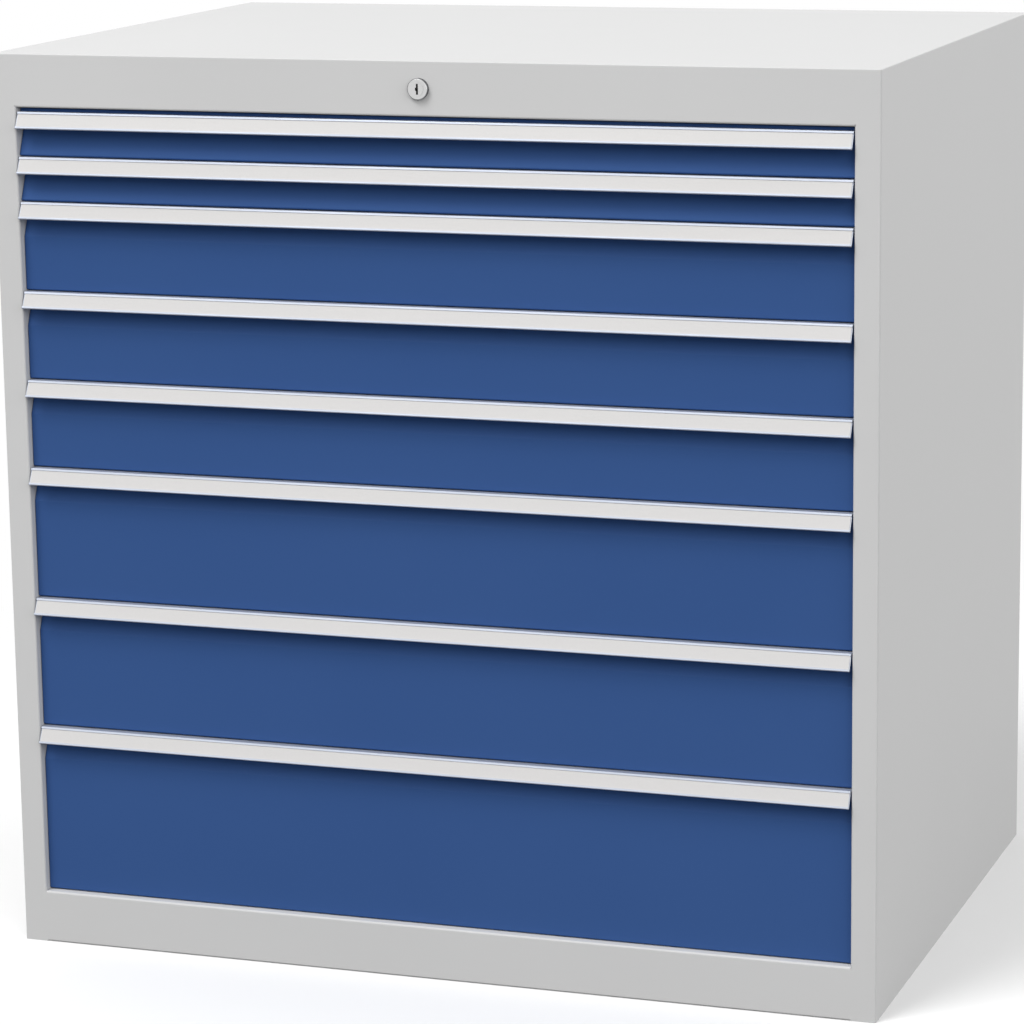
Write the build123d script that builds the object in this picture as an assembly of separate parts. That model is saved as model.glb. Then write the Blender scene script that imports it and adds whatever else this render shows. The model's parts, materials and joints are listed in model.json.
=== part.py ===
from build123d import *
import os
from math import cos, radians, sin

# A floor-standing workshop drawer cabinet: a folded sheet-steel housing, eight drawers on
# telescopic slides and one lock that holds them all. Millimetres; +X right, +Y back, +Z up.
# While the pieces are made, depth counts from the front plane of the housing and height
# from the floor. The finished pieces are centred on their overall depth at the end.

# Drawers
drawer_units = (1, 1, 2, 2, 2, 3, 3, 4)  # heights of the drawer spaces, from the top down
drawer_unit = 50.0
drawer_inside_width = 900.0
drawer_inside_depth = 600.0
tray_sheet = 1.5
tray_top_gap = 5.0  # from the top of a drawer's space down to the tray's rim
tray_floor_gap = 2.0  # from the bottom of that space up to the tray
divider_slot_width = 2.5
divider_slot_height = 18.0
divider_slot_drop = 14.0  # from the tray's rim down to the slots in its front and rear walls
divider_slot_pitch = 120.0

# Housing
housing_sheet = 1.5
housing_bend = 0.8  # inside radius of the folds
top_edge_round = 1.2
post_width = 28.0
post_return = 40.0  # how far a corner post folds back into the cabinet
top_rail_height = 59.0
top_rail_return = 25.0
top_rail_lip = 12.0
top_rear_flange = 20.0
bottom_rail_height = 60.0
foot_return = 30.0
back_sheet = 1.0
rear_space = 105.5  # clear depth behind the closed trays

# Slides
slide_sheet = 1.5
slide_depth = 9.5  # depth of the cabinet rail and of the drawer rail
slide_lip = 4.0  # how far their edges are turned in, above and below
slide_rise = 5.0  # from the bottom of a drawer's space up to its slide
slide_gap = 4.0  # between the cabinet rail and the drawer rail
slide_clearance = 0.3  # round the middle rail
middle_rail_setback = 10.0  # from the front of the cabinet rail
middle_rail_shortfall = 60.0  # how much shorter it is than the cabinet rail
drawer_rail_setback = 8.0  # from the front wall of the tray

# Uprights
upright_width = 40.0
upright_sheet = 1.5
slot_width = 6.0
slot_height = 14.0
slot_pitch = 50.0

# Fronts
front_sheet = 1.0
front_bend = 1.0
front_recess = 9.5  # from the housing's front plane back to the blue face
front_box_depth = 25.0  # from that plane back to the tray
front_side_gap = 0.8
front_bottom_gap = 1.0
front_slope_height = 44.0  # from the top of a drawer's space down to the crease of the taller fronts
front_slant_recess = 5.0  # at the foot of the smallest fronts, which slope all the way down
front_lip_height = 6.0
front_tuck = 1.2  # below the handle's top web
front_flange = 12.0

# Handles and labels
handle_drop = 5.0  # gap above each handle
handle_height = 17.3
handle_proud = 7.0
handle_setback = 2.0  # top edge behind the housing's front plane
handle_side_gap = 1.5
handle_wall = 1.8
handle_leg = 12.0
handle_edge_round = 0.7
label_plate = 2.8  # thickness of the sloping face
label_channel = 1.4
label_lip = 2.2
label_lip_wall = 0.6
label_lip_hook = 0.9
label_thickness = 0.65
label_clearance = 0.15
label_end_gap = 1.0

# Lock
lock_rim_diameter = 23.0
lock_rim_proud = 5.0
lock_rim_bevel = 1.0
lock_barrel_diameter = 18.0
lock_hole_clearance = 0.15
lock_nut_flats = 24.0
lock_nut_height = 5.0
plug_diameter = 14.0
plug_clearance = 0.06
plug_proud = 0.4
keyway_height = 11.5
keyway_width = 2.2
keyway_ward_height = 3.2
keyway_ward_width = 3.2
keyway_ward_offset = 0.7
keyway_depth = 20.0
tail_width = 7.0
cam_sheet = 3.0
cam_hub_diameter = 18.0
cam_clearance = 0.4
crank_radius = 10.0
crank_half_swing = 45.0
crank_pin_diameter = 5.0
crank_pin_clearance = 0.5
bar_thickness = 4.0
bar_clearance = 0.3
bar_wall_gap = 4.0  # to the side panel while the lock is open
rod_margin = 4.0  # metal round the slot for the crank pin
tongue_height = 4.0
tongue_clearance = 2.0  # above the slide, and in front of the catch
tongue_setback = 2.5  # tip inside the opening while the lock is open
catch_sheet = 2.0
catch_foot = 14.0
catch_clearance = 6.0

# Sizes that follow
slide_height = drawer_unit - slide_rise - tongue_clearance - tongue_height - tray_top_gap
tray_half = drawer_inside_width / 2 + tray_sheet
opening_half = tray_half + 2 * slide_depth + slide_gap
housing_half = opening_half + post_width
inner_half = housing_half - housing_sheet
tray_length = drawer_inside_depth + 2 * tray_sheet
tray_back = front_box_depth + tray_length
housing_depth = tray_back + rear_space + back_sheet + housing_sheet
opening_height = drawer_unit * sum(drawer_units)
opening_top = bottom_rail_height + opening_height
housing_height = opening_top + top_rail_height
sheet_top = housing_height - housing_sheet
bar_front = post_return + bar_clearance
upright_front = bar_front + bar_thickness + bar_clearance
rail_length = drawer_inside_depth
upright_rear = upright_front + rail_length - upright_width
lock_height = housing_height - top_rail_height / 2
crank_angle = radians(crank_half_swing)
bar_travel = 2 * crank_radius * sin(crank_angle)
bar_inner = opening_half + bar_travel + bar_clearance
tongue_tip = opening_half - tongue_setback
handle_half = opening_half - handle_side_gap
front_half = opening_half - front_side_gap


def folded(points, sheet, side, bend=None):
    """Section of a folded sheet: the points follow its outer face, the metal lies on one side."""
    if bend is None:
        outer = Polyline(*points)
        return make_face(offset(outer, amount=sheet, kind=Kind.INTERSECTION, side=side).edges())
    outer = FilletPolyline(*points, radius=bend + sheet)
    return make_face(offset(outer, amount=sheet, side=side).edges())


def across(section, half_width):
    """A depth and height section, drawn out to both sides of the middle."""
    return extrude(Plane.YZ * section, amount=half_width, both=True)


def backward(section, start, length):
    """A width and height section, drawn out from a depth towards the back."""
    return Pos(0, start, 0) * extrude(Plane.XZ * section, amount=-length)


def upward(section, start, length):
    """A width and depth section, drawn out from a height upwards."""
    return Pos(0, 0, start) * extrude(section, amount=length)


def both_sides(solid):
    """The left piece and the right piece, from the right one."""
    return [mirror(solid, about=Plane.YZ), solid]


def slot_row(width, height, places):
    """Upright slots at some places of a section."""
    return Sketch() + [place * Rectangle(width, height) for place in places]


# Housing


def side_panel():
    """Right side sheet folded into a corner post and a rear flange, filled where the rails are welded on."""
    plan = [
        (opening_half, housing_depth),
        (housing_half, housing_depth),
        (housing_half, 0),
        (opening_half, 0),
        (opening_half, post_return),
    ]
    panel = upward(folded(plan, housing_sheet, Side.RIGHT, housing_bend), 0, sheet_top)
    corner = housing_bend + housing_sheet
    weld = Pos(opening_half, 0) * Rectangle(corner, corner, align=(Align.MIN, Align.MIN))
    plinth_weld = upward(weld, 0, bottom_rail_height - corner)
    rail_weld = upward(weld, opening_top + corner, top_rail_height - housing_sheet - corner)
    return panel + plinth_weld + rail_weld


def top_panel():
    """Top sheet with the rail that holds the lock and a flange along the back."""
    corner_round = housing_bend + housing_sheet
    plan = Pos(0, housing_depth / 2) * RectangleRounded(2 * housing_half, housing_depth, corner_round)
    sheet = upward(plan, sheet_top, housing_sheet)
    sheet = fillet(sheet.faces().sort_by(Axis.Z)[-1].edges(), top_edge_round)
    rail = [
        (0, sheet_top),
        (0, opening_top),
        (top_rail_return, opening_top),
        (top_rail_return, opening_top + top_rail_lip),
    ]
    fascia = across(folded(rail, housing_sheet, Side.LEFT, housing_bend), opening_half)
    hole = Circle(lock_barrel_diameter / 2 + lock_hole_clearance)
    fascia -= lock_extrusion(hole, 0, housing_sheet)
    flange = Pos(housing_depth - housing_sheet, sheet_top - top_rear_flange) * Rectangle(
        housing_sheet, top_rear_flange, align=(Align.MIN, Align.MIN)
    )
    return sheet + fascia + across(flange, opening_half)


def base_panel():
    """Floor sheet folded down into a front and a rear plinth, with wings out to the sides."""
    outline = [
        (foot_return, 0),
        (0, 0),
        (0, bottom_rail_height),
        (housing_depth, bottom_rail_height),
        (housing_depth, 0),
        (housing_depth - foot_return, 0),
    ]
    plinth = across(folded(outline, housing_sheet, Side.RIGHT, housing_bend), opening_half)
    wing_front = post_return + bar_clearance
    wing_back = housing_depth - housing_sheet - housing_bend
    wings = Pos(0, wing_front) * Rectangle(
        2 * inner_half, wing_back - wing_front, align=(Align.CENTER, Align.MIN)
    )
    return plinth + upward(wings, bottom_rail_height - housing_sheet, housing_sheet)


def back_panel():
    """Flat sheet against the rear flanges, standing on the floor sheet."""
    width = 2 * (inner_half - housing_bend)
    height = sheet_top - bottom_rail_height
    sheet = Pos(0, bottom_rail_height) * Rectangle(width, height, align=(Align.CENTER, Align.MIN))
    return backward(sheet, housing_depth - housing_sheet - back_sheet, back_sheet)


def upright(front):
    """Right-hand slotted channel that carries the cabinet rails."""
    plan = [
        (inner_half, front),
        (opening_half, front),
        (opening_half, front + upright_width),
        (inner_half, front + upright_width),
    ]
    channel = upward(folded(plan, upright_sheet, Side.RIGHT), bottom_rail_height, opening_height)
    slot_count = int(opening_height / slot_pitch) - 1
    slots = slot_row(slot_width, slot_height, GridLocations(0, slot_pitch, 1, slot_count))
    middle = Pos(front + upright_width / 2, bottom_rail_height + opening_height / 2)
    return channel - Pos(opening_half, 0, 0) * extrude(Plane.YZ * (middle * slots), amount=upright_sheet)


# Slides


def slide_channel(web, mouth, bottom, start, length):
    """A lipped channel along the depth, with its web at one width and its mouth at another."""
    top = bottom + slide_height
    outline = [
        (mouth, bottom + slide_lip),
        (mouth, bottom),
        (web, bottom),
        (web, top),
        (mouth, top),
        (mouth, top - slide_lip),
    ]
    side = Side.LEFT if web > mouth else Side.RIGHT
    return backward(folded(outline, slide_sheet, side), start, length)


def cabinet_rail(space_bottom):
    """Right-hand channel fixed to the uprights."""
    bottom = space_bottom + slide_rise
    return slide_channel(opening_half, opening_half - slide_depth, bottom, upright_front, rail_length)


def drawer_rail(space_bottom):
    """Right-hand channel fixed to the tray."""
    bottom = space_bottom + slide_rise
    start = front_box_depth + drawer_rail_setback
    return slide_channel(tray_half, tray_half + slide_depth, bottom, start, tray_back - start)


def middle_rail(space_bottom):
    """Right-hand bar with one flange in each channel, which travels half as far as the drawer."""
    room = slide_sheet + slide_clearance
    inner = tray_half + room
    outer = opening_half - room
    middle = Pos((inner + outer) / 2, space_bottom + slide_rise + slide_height / 2)
    flanges = Rectangle(outer - inner, slide_height - 2 * room)
    neck = Rectangle(slide_gap + 2 * room, slide_height)
    web = Rectangle(slide_gap + 2 * room, slide_height - 2 * slide_lip - 2 * slide_clearance)
    section = middle * (flanges - neck + web)
    length = rail_length - middle_rail_shortfall
    return backward(section, upright_front + middle_rail_setback, length)


def catch(space_bottom):
    """Right-hand angle on the tray's side that a lock tongue stops."""
    front = bar_front + bar_thickness + tongue_clearance
    plan = [
        (tongue_tip - catch_clearance, front),
        (tray_half, front),
        (tray_half, front + catch_foot),
    ]
    bottom = space_bottom + slide_rise + slide_height + tongue_clearance
    return upward(folded(plan, catch_sheet, Side.RIGHT), bottom, tongue_height)


# Drawers


def tray(space_bottom, space_height):
    """Open sheet-steel box, with slots for dividers in its front and rear walls."""
    height = space_height - tray_floor_gap - tray_top_gap
    block = Box(2 * tray_half, tray_length, height, align=(Align.CENTER, Align.MIN, Align.MIN))
    rim = block.faces().sort_by(Axis.Z)[-1]
    shell = offset(block, amount=-tray_sheet, openings=rim, kind=Kind.INTERSECTION)
    slot_count = int(drawer_inside_width / divider_slot_pitch)
    places = GridLocations(divider_slot_pitch, 0, slot_count, 1)
    slots = slot_row(divider_slot_width, divider_slot_height, places)
    slot_middle = height - divider_slot_drop - divider_slot_height / 2
    shell -= backward(Pos(0, slot_middle) * slots, 0, tray_length)
    return Pos(0, front_box_depth, space_bottom + tray_floor_gap) * shell


def front(space_bottom, space_height, is_lowest):
    """Folded front: a lip behind the handle, a sloping finger scoop, an upright face if tall, and a foot."""
    space_top = space_bottom + space_height
    lip_depth = front_box_depth - handle_wall - front_sheet
    lip_top = space_top - handle_drop - handle_wall - front_tuck
    foot = space_bottom + front_bottom_gap
    if not is_lowest:
        foot -= handle_drop
    slope_end = [(front_recess, space_top - front_slope_height), (front_recess, foot)]
    if space_height == drawer_unit:
        slope_end = [(front_slant_recess, foot)]
    face = [
        (lip_depth, lip_top),
        (lip_depth, lip_top - front_lip_height),
        *slope_end,
        (front_box_depth, foot),
    ]
    flange_end = (front_box_depth, foot + front_flange)
    sheet = across(folded(face + [flange_end], front_sheet, Side.LEFT, front_bend), front_half)
    outer = FilletPolyline(*face, radius=front_bend + front_sheet)
    leg_face = front_box_depth - handle_wall
    leg_end = space_top - handle_drop - handle_leg
    closing = Polyline(
        face[-1], (front_box_depth, leg_end), (leg_face, leg_end), (leg_face, lip_top), face[0]
    )
    cheek = Plane.YZ * make_face(outer.edges() + closing.edges())
    cheeks = both_sides(Pos(front_half - front_sheet, 0, 0) * extrude(cheek, amount=front_sheet))
    return sheet + cheeks


handle_top = Vector(handle_setback, -handle_drop)
handle_toe = Vector(-handle_proud, -handle_drop - handle_height)
down_face = (handle_toe - handle_top).normalized()
off_face = Vector(down_face.Y, -down_face.X)
face_length = (handle_toe - handle_top).length


def on_face(down, off):
    """Point at a distance down the handle's sloping face and off it, from the top of the space."""
    place = handle_top + down_face * down + off_face * off
    return (place.X, place.Y)


def handle():
    """Extrusion: a top web over the front, a leg on the tray and a sloping face with a label channel."""
    web_under = -handle_drop - handle_wall
    leg_end = -handle_drop - handle_leg
    leg_face = front_box_depth - handle_wall
    wall = label_lip - label_lip_hook
    inner_top = (label_plate * off_face.Y - handle_wall) / down_face.Y
    outline = Polyline(
        on_face(0, 0),
        on_face(label_lip, 0),
        on_face(label_lip, -label_lip_wall),
        on_face(wall, -label_lip_wall),
        on_face(wall, -label_channel),
        on_face(face_length - wall, -label_channel),
        on_face(face_length - wall, -label_lip_wall),
        on_face(face_length - label_lip, -label_lip_wall),
        on_face(face_length - label_lip, 0),
        on_face(face_length, 0),
        on_face(face_length, -label_plate),
        on_face(inner_top, -label_plate),
        (leg_face, web_under),
        (leg_face, leg_end),
        (front_box_depth, leg_end),
        (front_box_depth, -handle_drop),
        close=True,
    )
    section = make_face(outline)
    toes = [on_face(face_length, 0), on_face(face_length, -label_plate)]
    corners = [section.vertices().sort_by_distance(toe)[0] for toe in toes]
    return across(fillet(corners, handle_edge_round), handle_half)


def label():
    """Flat strip on the floor of the label channel, held by its two lips."""
    edge = label_lip - label_lip_hook + label_clearance
    outline = Polyline(
        on_face(edge, -label_channel),
        on_face(edge, label_thickness - label_channel),
        on_face(face_length - edge, label_thickness - label_channel),
        on_face(face_length - edge, -label_channel),
        close=True,
    )
    return across(make_face(outline), handle_half - label_end_gap)


# Lock


def lock_extrusion(section, start, length):
    """A section about the lock's axis, drawn out from a depth towards the back."""
    plane = Plane(origin=(0, start, lock_height), x_dir=(-1, 0, 0), z_dir=(0, 1, 0))
    return extrude(plane * section, amount=length)


cam_back = bar_front - cam_clearance
cam_front = cam_back - cam_sheet
barrel_back = cam_front - cam_clearance
crank_rest = (-crank_radius * sin(crank_angle), crank_radius * cos(crank_angle))


def lock_housing():
    """Round rim and barrel, with the nut that holds them in the top rail."""
    rim = lock_extrusion(Circle(lock_rim_diameter / 2), -lock_rim_proud, lock_rim_proud)
    rim = chamfer(rim.faces().sort_by(Axis.Y)[0].edges(), lock_rim_bevel)
    body = rim + lock_extrusion(Circle(lock_barrel_diameter / 2), 0, barrel_back)
    bore = Circle(plug_diameter / 2 + plug_clearance)
    body -= lock_extrusion(bore, -lock_rim_proud, lock_rim_proud + barrel_back)
    ring = RegularPolygon(lock_nut_flats / 2, 6, major_radius=False)
    ring -= Circle(lock_barrel_diameter / 2 + lock_hole_clearance)
    return [body, lock_extrusion(ring, housing_sheet, lock_nut_height)]


def lock_cylinder():
    """Turning plug with its keyway in front and a square tail behind."""
    start = -lock_rim_proud - plug_proud
    plug = lock_extrusion(Circle(plug_diameter / 2), start, barrel_back - start)
    ward = Pos(keyway_ward_offset, 0) * Rectangle(keyway_ward_width, keyway_ward_height)
    plug -= lock_extrusion(Rectangle(keyway_width, keyway_height) + ward, start, keyway_depth)
    return plug + lock_extrusion(Rectangle(tail_width, tail_width), barrel_back, cam_back - barrel_back)


def lock_cam():
    """Crank plate on the plug's tail, with the pin that drives the rod."""
    pin_place = Pos(-crank_rest[0], crank_rest[1])
    circles = Sketch() + [Circle(cam_hub_diameter / 2), pin_place * Circle(crank_pin_diameter)]
    plate = make_hull(circles.edges()) - Rectangle(tail_width, tail_width)
    pin = pin_place * Circle(crank_pin_diameter / 2)
    reach = cam_sheet + cam_clearance + bar_thickness
    return lock_extrusion(plate, cam_front, cam_sheet) + lock_extrusion(pin, cam_front, reach)


def lock_bar():
    """Cross rod behind the top rail and upright bar behind the left post, in one plate."""
    room = crank_pin_diameter / 2 + crank_pin_clearance
    slot_bottom = lock_height + crank_rest[1] - room
    slot_top = lock_height + crank_radius + room
    rod_bottom = slot_bottom - rod_margin
    rod_top = slot_top + rod_margin
    bar_outer = inner_half - bar_wall_gap
    bar_bottom = bottom_rail_height + bar_clearance
    rod_end = crank_rest[0] + room + rod_margin
    outline = Polyline(
        (-bar_outer, bar_bottom),
        (-bar_inner, bar_bottom),
        (-bar_inner, rod_bottom),
        (rod_end, rod_bottom),
        (rod_end, rod_top),
        (-bar_outer, rod_top),
        close=True,
    )
    slot = Pos(crank_rest[0], (slot_bottom + slot_top) / 2) * Rectangle(2 * room, slot_top - slot_bottom)
    return backward(make_face(outline) - slot, bar_front, bar_thickness)


def lock_tongue(space_bottom):
    """Tongue on the upright bar that stops one drawer's catch."""
    bottom = space_bottom + slide_rise + slide_height + tongue_clearance
    place = Pos(-bar_inner, bottom)
    plate = place * Rectangle(bar_inner - tongue_tip, tongue_height, align=(Align.MIN, Align.MIN))
    return backward(plate, bar_front, bar_thickness)


# Assembly

right_panel = side_panel()
right_uprights = [upright(upright_front), upright(upright_rear)]
nodes = {
    "left_side_panel": [mirror(right_panel, about=Plane.YZ)],
    "right_side_panel": [right_panel],
    "top_panel": [top_panel()],
    "base_panel": [base_panel()],
    "back_panel": [back_panel()],
    "uprights": [piece for each in right_uprights for piece in both_sides(each)],
    "cabinet_rails": [],
    "lock_housing": lock_housing(),
    "lock_cylinder": [lock_cylinder()],
    "lock_cam": [lock_cam()],
    "lock_bar": [lock_bar()],
    "lock_tongues": [],
}

handle_piece = handle()
label_piece = label()
space_bottom = opening_top
for number, units in enumerate(drawer_units, start=1):
    space_height = drawer_unit * units
    space_top = space_bottom
    space_bottom = space_top - space_height
    is_lowest = number == len(drawer_units)
    name = f"drawer_{number}"
    nodes["cabinet_rails"] += both_sides(cabinet_rail(space_bottom))
    nodes["lock_tongues"].append(lock_tongue(space_bottom))
    nodes[f"{name}_tray"] = [tray(space_bottom, space_height)]
    nodes[f"{name}_front"] = [front(space_bottom, space_height, is_lowest)]
    nodes[f"{name}_handle"] = [Pos(0, 0, space_top) * handle_piece]
    nodes[f"{name}_label"] = [Pos(0, 0, space_top) * label_piece]
    left_catch = mirror(catch(space_bottom), about=Plane.YZ)
    nodes[f"{name}_rails"] = both_sides(drawer_rail(space_bottom)) + [left_catch]
    nodes[f"{name}_middle_rails"] = both_sides(middle_rail(space_bottom))

to_middle = Pos(0, (handle_proud - housing_depth) / 2, 0)
os.makedirs("parts", exist_ok=True)
for name, pieces in nodes.items():
    solids = [solid for piece in pieces for solid in (to_middle * piece).solids()]
    export_step(Compound(children=solids), f"parts/{name}.step")
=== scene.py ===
import json
from math import cos, pi, radians, sin

import bpy
from mathutils import Matrix, Vector


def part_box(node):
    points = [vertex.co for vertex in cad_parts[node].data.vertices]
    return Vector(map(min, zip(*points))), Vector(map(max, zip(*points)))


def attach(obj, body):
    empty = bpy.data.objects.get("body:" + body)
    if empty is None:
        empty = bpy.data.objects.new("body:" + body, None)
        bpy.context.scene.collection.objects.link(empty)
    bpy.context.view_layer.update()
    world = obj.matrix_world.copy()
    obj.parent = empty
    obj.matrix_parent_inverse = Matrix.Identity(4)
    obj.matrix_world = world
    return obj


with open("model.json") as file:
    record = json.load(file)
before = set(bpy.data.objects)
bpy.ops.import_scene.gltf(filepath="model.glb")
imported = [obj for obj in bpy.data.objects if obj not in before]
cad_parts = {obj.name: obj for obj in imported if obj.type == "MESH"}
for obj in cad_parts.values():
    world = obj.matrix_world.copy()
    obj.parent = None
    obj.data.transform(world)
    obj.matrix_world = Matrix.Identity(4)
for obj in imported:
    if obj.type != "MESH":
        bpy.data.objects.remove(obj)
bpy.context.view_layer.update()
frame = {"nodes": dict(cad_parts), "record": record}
scene = bpy.context.scene
scene.view_settings.view_transform = "Standard"

# Millimetres in a metre
metre = 1000
# Sockets of a mix node that mixes colours
mix_share, mix_first, mix_second, mix_result = 0, 6, 7, 2
# Most of a noise pattern lies between these two values
noise_low, noise_high = 0.3, 0.7
# Metres between the rings of a wave texture at scale 1
wave_spacing = 2 * pi / 20


def linear(colour):
    """An sRGB hex colour as linear red, green, blue and alpha."""
    channels = [int(colour[i : i + 2], 16) / 255 for i in (0, 2, 4)]
    return [c / 12.92 if c <= 0.04045 else ((c + 0.055) / 1.055) ** 2.4 for c in channels] + [1.0]


def per_metre(millimetres):
    """How often a pattern of this size comes in a metre."""
    return metre / millimetres


def add(tree, kind, settings=None, links=None):
    """Adds a node: small-letter settings are its own, the others and all links go to its inputs."""
    node = tree.nodes.new(kind)
    for name, value in (settings or {}).items():
        if isinstance(name, str) and name.islower():
            setattr(node, name, value)
        else:
            node.inputs[name].default_value = value
    for name, output in (links or {}).items():
        tree.links.new(output, node.inputs[name])
    return node


def new_finish(name):
    """A material with an empty surface, its node tree and the object's own coordinates in metres."""
    finish = bpy.data.materials.new(name)
    finish.use_nodes = True
    tree = finish.node_tree
    tree.nodes.clear()
    return finish, tree, add(tree, "ShaderNodeTexCoord").outputs["Object"]


# Finishes


def powder_coat(name, colour, deep, peel_size, peel_depth, roughness):
    """Polyester powder coat, sprayed dry and baked: a satin skin with a faint orange peel that
    breaks up highlights, and slow drifts of tone and gloss from an uneven film."""
    drift_size = 260.0
    roughness_drift = 0.05
    finish, tree, place = new_finish(name)
    peel = add(
        tree,
        "ShaderNodeTexNoise",
        {"Scale": per_metre(peel_size), "Detail": 2.0, "Roughness": 0.55},
        {"Vector": place},
    )
    drift = add(
        tree,
        "ShaderNodeTexNoise",
        {"Scale": per_metre(drift_size), "Detail": 2.0},
        {"Vector": place},
    )
    tone = add(
        tree,
        "ShaderNodeMix",
        {"data_type": "RGBA", mix_first: linear(deep), mix_second: linear(colour)},
        {mix_share: drift.outputs["Fac"]},
    )
    uneven_roughness = add(
        tree,
        "ShaderNodeMapRange",
        {
            "From Min": noise_low,
            "From Max": noise_high,
            "To Min": roughness - roughness_drift,
            "To Max": roughness + roughness_drift,
        },
        {"Value": drift.outputs["Fac"]},
    )
    orange_peel = add(
        tree,
        "ShaderNodeBump",
        {"Strength": 0.5, "Distance": peel_depth / metre},
        {"Height": peel.outputs["Fac"]},
    )
    surface = add(
        tree,
        "ShaderNodeBsdfPrincipled",
        {"IOR": 1.5, "Specular IOR Level": 0.03},
        {
            "Base Color": tone.outputs[mix_result],
            "Roughness": uneven_roughness.outputs["Result"],
            "Normal": orange_peel.outputs["Normal"],
        },
    )
    add(tree, "ShaderNodeOutputMaterial", links={"Surface": surface.outputs[0]})
    return finish


def drawn_metal(name, colour, deep, line_length, line_width, along, roughness, metallic):
    """Metal with lines along one axis, as a die, a roll or a brush leaves them: highlights smear
    across the lines, and the tone changes a little from line to line. Real lines are too fine to
    show in the render, so they are drawn coarser."""
    line_depth = 0.02
    line_contrast, line_base = 0.45, 0.28
    roughness_change = 0.08
    cloud_size = 45.0
    finish, tree, place = new_finish(name)
    stretch = [per_metre(line_width)] * 3
    stretch["XYZ".index(along)] = per_metre(line_length)
    stretched = add(tree, "ShaderNodeMapping", {"Scale": stretch}, {"Vector": place})
    lines = add(
        tree,
        "ShaderNodeTexNoise",
        {"Scale": 1.0, "Detail": 3.0, "Roughness": 0.6},
        {"Vector": stretched.outputs["Vector"]},
    )
    clouds = add(
        tree,
        "ShaderNodeTexNoise",
        {"Scale": per_metre(cloud_size), "Detail": 3.0},
        {"Vector": place},
    )
    soft_lines = add(
        tree,
        "ShaderNodeMath",
        {"operation": "MULTIPLY_ADD", 1: line_contrast, 2: line_base},
        {0: lines.outputs["Fac"]},
    )
    clouded_lines = add(
        tree,
        "ShaderNodeMath",
        {"operation": "MULTIPLY"},
        {0: soft_lines.outputs[0], 1: clouds.outputs["Fac"]},
    )
    tone = add(
        tree,
        "ShaderNodeMix",
        {"data_type": "RGBA", mix_first: linear(deep), mix_second: linear(colour)},
        {mix_share: clouded_lines.outputs[0]},
    )
    uneven_roughness = add(
        tree,
        "ShaderNodeMapRange",
        {
            "From Min": noise_low,
            "From Max": noise_high,
            "To Min": roughness - roughness_change,
            "To Max": roughness + roughness_change,
        },
        {"Value": lines.outputs["Fac"]},
    )
    grooves = add(
        tree,
        "ShaderNodeBump",
        {"Strength": 0.3, "Distance": line_depth / metre},
        {"Height": lines.outputs["Fac"]},
    )
    surface = add(
        tree,
        "ShaderNodeBsdfPrincipled",
        {"Metallic": metallic},
        {
            "Base Color": tone.outputs[mix_result],
            "Roughness": uneven_roughness.outputs["Result"],
            "Normal": grooves.outputs["Normal"],
        },
    )
    add(tree, "ShaderNodeOutputMaterial", links={"Surface": surface.outputs[0]})
    return finish


lock_low, lock_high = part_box("lock_cylinder")
lock_centre = (lock_low + lock_high) / 2


def turned_nickel_with_painted_shade(name, colour, deep, painted_shade_colour, ring, face_radius, roughness):
    """Satin nickel plate on a turned die casting, with rings round the lock's axis. The wall round the
    bright face is painted dark: this is painted shade and a painted dark reflection, not a colour of
    the plate. Real rings are too fine to show in the render, so they are drawn coarser."""
    half_edge = 0.0003
    roughness_change = 0.05
    finish, tree, place = new_finish(name)
    centred = add(
        tree,
        "ShaderNodeMapping",
        {"Location": (-lock_centre.x, 0, -lock_centre.z), "Scale": (1, 0, 1)},
        {"Vector": place},
    )
    rings = add(
        tree,
        "ShaderNodeTexWave",
        {
            "wave_type": "RINGS",
            "rings_direction": "Y",
            "Scale": per_metre(ring) * wave_spacing,
            "Distortion": 0.4,
            "Detail": 2.0,
        },
        {"Vector": centred.outputs["Vector"]},
    )
    turned = add(
        tree,
        "ShaderNodeMix",
        {"data_type": "RGBA", mix_first: linear(deep), mix_second: linear(colour)},
        {mix_share: rings.outputs["Fac"]},
    )
    radius = add(
        tree,
        "ShaderNodeVectorMath",
        {"operation": "LENGTH"},
        {"Vector": centred.outputs["Vector"]},
    )
    # Past the face radius the rim's wall gets a darker colour: painted shade and a painted dark
    # reflection
    painted_shade_mask = add(
        tree,
        "ShaderNodeMapRange",
        {"From Min": face_radius - half_edge, "From Max": face_radius + half_edge},
        {"Value": radius.outputs["Value"]},
    )
    tone = add(
        tree,
        "ShaderNodeMix",
        {"data_type": "RGBA", mix_second: linear(painted_shade_colour)},
        {mix_share: painted_shade_mask.outputs["Result"], mix_first: turned.outputs[mix_result]},
    )
    uneven_roughness = add(
        tree,
        "ShaderNodeMapRange",
        {"To Min": roughness - roughness_change, "To Max": roughness + roughness_change},
        {"Value": rings.outputs["Fac"]},
    )
    surface = add(
        tree,
        "ShaderNodeBsdfPrincipled",
        {"Metallic": 1.0},
        {
            "Base Color": tone.outputs[mix_result],
            "Roughness": uneven_roughness.outputs["Result"],
        },
    )
    add(tree, "ShaderNodeOutputMaterial", links={"Surface": surface.outputs[0]})
    return finish


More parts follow.
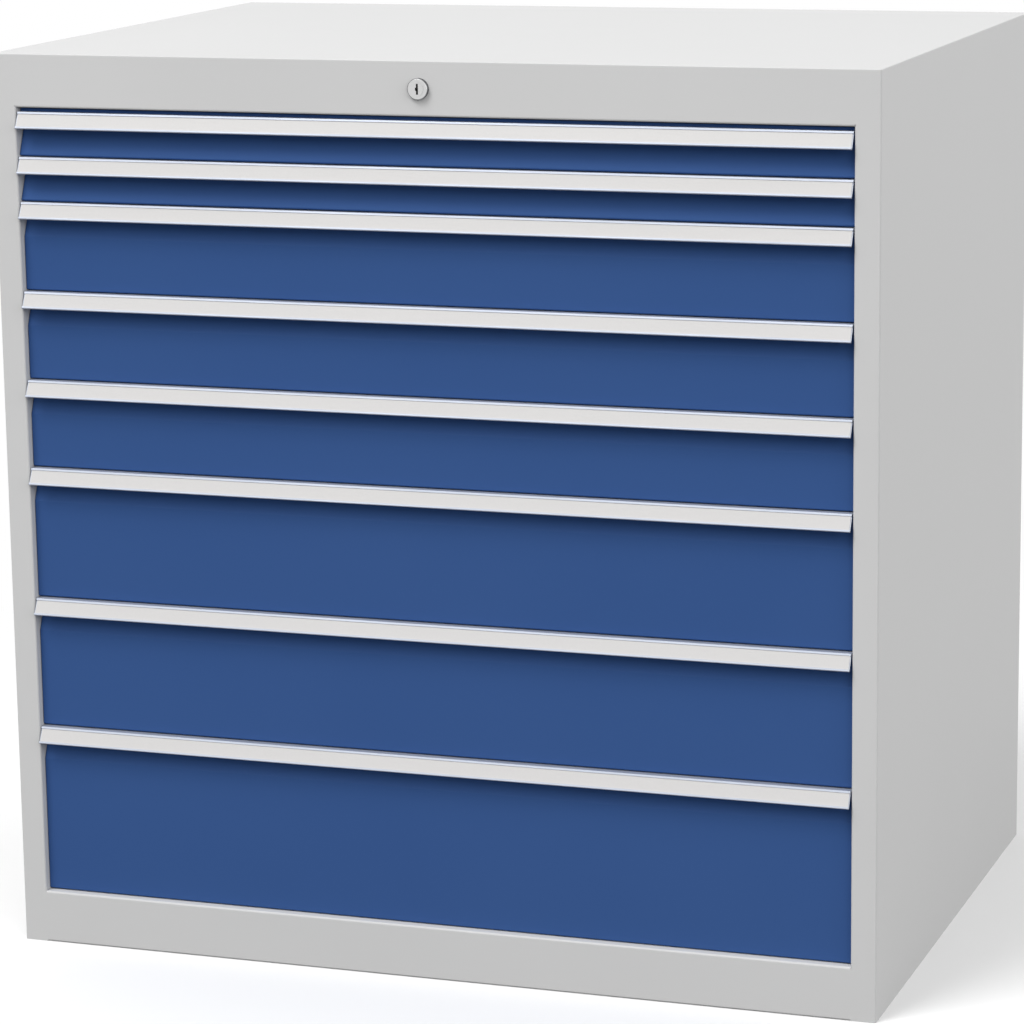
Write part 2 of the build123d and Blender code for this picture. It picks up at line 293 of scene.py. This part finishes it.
def label_card(name, colour, deep, fibre, roughness):
    """Uncoated card behind a clear matt film: a soft off-white with a trace of its fibres. Real fibres
    are too fine to show in the render, so they are drawn coarser."""
    fibre_depth = 0.03
    finish, tree, place = new_finish(name)
    fibres = add(
        tree,
        "ShaderNodeTexNoise",
        {"Scale": per_metre(fibre), "Detail": 4.0, "Roughness": 0.65},
        {"Vector": place},
    )
    tone = add(
        tree,
        "ShaderNodeMix",
        {"data_type": "RGBA", mix_first: linear(deep), mix_second: linear(colour)},
        {mix_share: fibres.outputs["Fac"]},
    )
    tooth = add(
        tree,
        "ShaderNodeBump",
        {"Strength": 0.2, "Distance": fibre_depth / metre},
        {"Height": fibres.outputs["Fac"]},
    )
    surface = add(
        tree,
        "ShaderNodeBsdfPrincipled",
        {"IOR": 1.49, "Roughness": roughness},
        {"Base Color": tone.outputs[mix_result], "Normal": tooth.outputs["Normal"]},
    )
    add(tree, "ShaderNodeOutputMaterial", links={"Surface": surface.outputs[0]})
    return finish


# Sizes of the patterns are in millimetres
finishes = {
    "grey_paint": powder_coat(
        "light_grey_powder_coat", "CDCDCD", "C8C8C8", peel_size=2.5, peel_depth=0.05, roughness=0.45
    ),
    "blue_paint": powder_coat(
        "blue_powder_coat", "39578C", "355388", peel_size=2.5, peel_depth=0.05, roughness=0.45
    ),
    "tray_paint": powder_coat(
        "grey_tray_paint", "C9CAC9", "C3C4C3", peel_size=1.8, peel_depth=0.03, roughness=0.40
    ),
    # The anodised film scatters part of the light, so the metal shows only in part
    "handle_aluminium": drawn_metal(
        "anodised_aluminium",
        "B4BAC6",
        "A8AEBA",
        line_length=160.0,
        line_width=1.2,
        along="X",
        roughness=0.5,
        metallic=0.4,
    ),
    "label_card": label_card("label_card", "C5C3C2", "BEBDBC", fibre=2.0, roughness=0.5),
    "zinc_steel": drawn_metal(
        "bright_zinc_plate",
        "D4D6D8",
        "A9ACB0",
        line_length=60.0,
        line_width=1.5,
        along="Y",
        roughness=0.36,
        metallic=1.0,
    ),
    # The lock's face radius is in metres, as the frame is
    "lock_metal": turned_nickel_with_painted_shade(
        "satin_nickel_with_painted_shade",
        "D3D3D3",
        "C8C8C8",
        # Painted shade: the dark colour of the rim's wall stands in for shade and a dark reflection
        painted_shade_colour="6A6B6D",
        ring=0.8,
        face_radius=0.0109,
        roughness=0.4,
    ),
}
for subpart in frame["record"]["subparts"]:
    for slot in frame["nodes"][subpart["node"]].material_slots:
        slot.material = finishes[subpart["material_slot"]]

# Modelling helpers


def edit_top(piece):
    """Puts the piece in edit mode with only the faces selected that look straight up."""
    straight_up = 0.99
    bpy.ops.object.mode_set(mode="EDIT")
    bpy.ops.mesh.select_mode(type="FACE")
    bpy.ops.mesh.select_all(action="DESELECT")
    bpy.ops.object.mode_set(mode="OBJECT")
    for face in piece.data.polygons:
        face.select = face.normal.z > straight_up
    bpy.ops.object.mode_set(mode="EDIT")


def round_top(piece, radius):
    """Rounds the edges of the faces that look straight up, and stays in edit mode."""
    edit_top(piece)
    bpy.ops.mesh.bevel(offset=radius, segments=4, profile=0.5)


def smooth():
    """Leaves edit mode, and shades the piece smooth where its faces meet at a small angle."""
    bpy.ops.object.mode_set(mode="OBJECT")
    bpy.ops.object.shade_smooth_by_angle(angle=radians(35))


# Rivets


def blind_rivet(head_radius, head_height, hole_radius):
    """A set blind rivet with its seat at the origin: a domed head with the hole of its drawn pin."""
    dome = 0.75 * head_height
    hole_depth = 0.6 * head_height
    bpy.ops.object.select_all(action="DESELECT")
    bpy.ops.mesh.primitive_cylinder_add(
        vertices=20, radius=head_radius, depth=head_height, location=(0, 0, head_height / 2)
    )
    rivet = bpy.context.object
    bpy.ops.object.transform_apply(location=True, rotation=True, scale=True)
    round_top(rivet, dome)
    edit_top(rivet)
    bpy.ops.mesh.inset(thickness=head_radius - dome - hole_radius)
    bpy.ops.mesh.extrude_region_move(TRANSFORM_OT_translate={"value": (0, 0, -hole_depth)})
    smooth()
    return rivet


drawer_count = 8
# Sizes of the solids: the tray's sheet, the handle's leg down from the tray's rim, and the middle of
# the slides up from the tray's underside
tray_sheet = 0.0015
handle_leg = 0.012
slide_middle = 0.020
# Where the rivets sit, as shares of the tray's width and of its depth
front_shares = (0.07, 0.35, 0.65, 0.93)
side_shares = (0.15, 0.5, 0.85)
to_back, to_right, to_left = Vector((0, 1, 0)), Vector((1, 0, 0)), Vector((-1, 0, 0))

rivet = blind_rivet(head_radius=0.0035, head_height=0.0014, hole_radius=0.0011)
for number in range(1, drawer_count + 1):
    low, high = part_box(f"drawer_{number}_tray")
    seats = []
    for share in front_shares:
        across = low.x + share * (high.x - low.x)
        seats.append(((across, low.y + tray_sheet, high.z - handle_leg / 2), to_back))
    for share in side_shares:
        depth = low.y + share * (high.y - low.y)
        seats.append(((low.x + tray_sheet, depth, low.z + slide_middle), to_right))
        seats.append(((high.x - tray_sheet, depth, low.z + slide_middle), to_left))
    bpy.ops.object.select_all(action="DESELECT")
    for seat, direction in seats:
        copy = bpy.data.objects.new(f"drawer_{number}_rivets", rivet.data.copy())
        scene.collection.objects.link(copy)
        turn = direction.to_track_quat("Z", "Y").to_matrix().to_4x4()
        copy.data.transform(Matrix.Translation(seat) @ turn)
        copy.select_set(True)
        bpy.context.view_layer.objects.active = copy
    bpy.ops.object.join()
    rivets = bpy.context.object
    rivets.name = f"drawer_{number}_rivets"
    rivets.data.materials.clear()
    rivets.data.materials.append(finishes["zinc_steel"])
    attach(rivets, f"drawer_{number}")
bpy.data.objects.remove(rivet)

# Top edge of the uppermost front, which shows blue in the gap under the top rail

# Back from the housing's front
edge_setback = 0.0105
edge_height = 0.0034
edge_thickness = 0.0016
edge_round = 0.45 * edge_thickness
low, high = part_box("drawer_1_handle")
edge_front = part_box("top_panel")[0].y + edge_setback
bpy.ops.object.select_all(action="DESELECT")
bpy.ops.mesh.primitive_cube_add(
    size=1,
    scale=(high.x - low.x, edge_thickness, edge_height),
    location=(
        (low.x + high.x) / 2,
        edge_front + edge_thickness / 2,
        high.z + edge_height / 2,
    ),
)
front_edge = bpy.context.object
front_edge.name = "drawer_1_front_edge"
bpy.ops.object.transform_apply(location=True, rotation=True, scale=True)
round_top(front_edge, edge_round)
smooth()
front_edge.data.materials.append(finishes["blue_paint"])
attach(front_edge, "drawer_1")

# Studio


def seen_rays(tree):
    """1 for rays that show the background itself: straight from the camera, mirrored or through glass."""
    path = add(tree, "ShaderNodeLightPath").outputs
    mirrored = add(
        tree,
        "ShaderNodeMath",
        {"operation": "MAXIMUM"},
        {0: path["Is Camera Ray"], 1: path["Is Glossy Ray"]},
    )
    return add(
        tree,
        "ShaderNodeMath",
        {"operation": "MAXIMUM"},
        {0: mirrored.outputs[0], 1: path["Is Transmission Ray"]},
    ).outputs[0]


# The floor takes the cabinet's shadow close by and is plain white further out. It shows white but
# lights the cabinet as a grey floor would.
floor_size = 80
floor_as_seen, floor_as_light = "F1F1F1", "7C7C7C"
shadow_reach, white_from = 0.7, 1.7
floor_finish, floor_tree, floor_place = new_finish("white_studio_floor")
floor_seen = seen_rays(floor_tree)
from_middle = add(
    floor_tree, "ShaderNodeVectorMath", {"operation": "LENGTH"}, {"Vector": floor_place}
)
far = add(
    floor_tree,
    "ShaderNodeMapRange",
    {"interpolation_type": "SMOOTHSTEP", "From Min": shadow_reach, "From Max": white_from},
    {"Value": from_middle.outputs["Value"]},
)
far_and_seen = add(
    floor_tree,
    "ShaderNodeMath",
    {"operation": "MULTIPLY"},
    {0: far.outputs["Result"], 1: floor_seen},
)
floor_tone = add(
    floor_tree,
    "ShaderNodeMix",
    {"data_type": "RGBA", mix_first: linear(floor_as_light), mix_second: linear(floor_as_seen)},
    {mix_share: floor_seen},
)
matt_floor = add(
    floor_tree, "ShaderNodeBsdfDiffuse", links={"Color": floor_tone.outputs[mix_result]}
)
white_floor = add(floor_tree, "ShaderNodeEmission", {"Strength": 1.0})
floor_surface = add(
    floor_tree,
    "ShaderNodeMixShader",
    links={0: far_and_seen.outputs[0], 1: matt_floor.outputs[0], 2: white_floor.outputs[0]},
)
add(floor_tree, "ShaderNodeOutputMaterial", links={"Surface": floor_surface.outputs[0]})

bpy.ops.object.select_all(action="DESELECT")
bpy.ops.mesh.primitive_plane_add(size=floor_size)
floor = bpy.context.object
floor.name = "studio_floor"
floor.data.materials.append(floor_finish)

sky_as_seen, sky_as_light = 1.0, 0.76
world = bpy.data.worlds.new("white_studio")
world.use_nodes = True
world.node_tree.nodes.clear()
sky_level = add(
    world.node_tree,
    "ShaderNodeMapRange",
    {"To Min": sky_as_light, "To Max": sky_as_seen},
    {"Value": seen_rays(world.node_tree)},
)
sky = add(
    world.node_tree,
    "ShaderNodeBackground",
    {"Color": (1, 1, 1, 1)},
    {"Strength": sky_level.outputs["Result"]},
)
add(world.node_tree, "ShaderNodeOutputWorld", links={"Surface": sky.outputs[0]})
scene.world = world


def towards(azimuth, elevation):
    """Direction from the cabinet to a place in the studio, in degrees round from the front and up."""
    turn, rise = radians(azimuth), radians(elevation)
    return Vector((sin(turn) * cos(rise), -cos(turn) * cos(rise), sin(rise)))


lamp_distance = 14.0
lamp_size = 6.0
lamp_aim = Vector((0, 0, 0.5))


def softbox(name, azimuth, elevation, watts):
    """A square soft light that faces the middle of the cabinet."""
    lamp = bpy.data.lights.new(name, "AREA")
    lamp.shape = "SQUARE"
    lamp.size = lamp_size
    lamp.energy = watts
    light = bpy.data.objects.new(name, lamp)
    direction = towards(azimuth, elevation)
    light.location = lamp_aim + direction * lamp_distance
    light.rotation_euler = direction.to_track_quat("Z", "Y").to_euler()
    scene.collection.objects.link(light)


softbox("key_softbox", azimuth=-32, elevation=55, watts=1080)
softbox("fill_softbox", azimuth=-32, elevation=30, watts=115)
softbox("right_softbox", azimuth=40, elevation=25, watts=320)
softbox("side_softbox", azimuth=72, elevation=12, watts=245)
softbox("back_softbox", azimuth=145, elevation=8, watts=460)

# Camera

camera_aim = Vector((-0.030, 0.0035, 0.455))
camera_distance = 4.537
camera_azimuth, camera_elevation = 19.21, 11.86
camera_roll = radians(-0.78)
camera = bpy.data.objects.new("camera", bpy.data.cameras.new("camera"))
camera.data.sensor_width = 36.0
camera.data.lens = 135.3
back = towards(camera_azimuth, camera_elevation)
level = Vector((0, 0, 1)).cross(back).normalized()
upright = back.cross(level)
right = level * cos(camera_roll) + upright * sin(camera_roll)
up = upright * cos(camera_roll) - level * sin(camera_roll)
facing = Matrix((right, up, back)).transposed().to_4x4()
camera.matrix_world = Matrix.Translation(camera_aim + back * camera_distance) @ facing
scene.collection.objects.link(camera)
scene.camera = camera
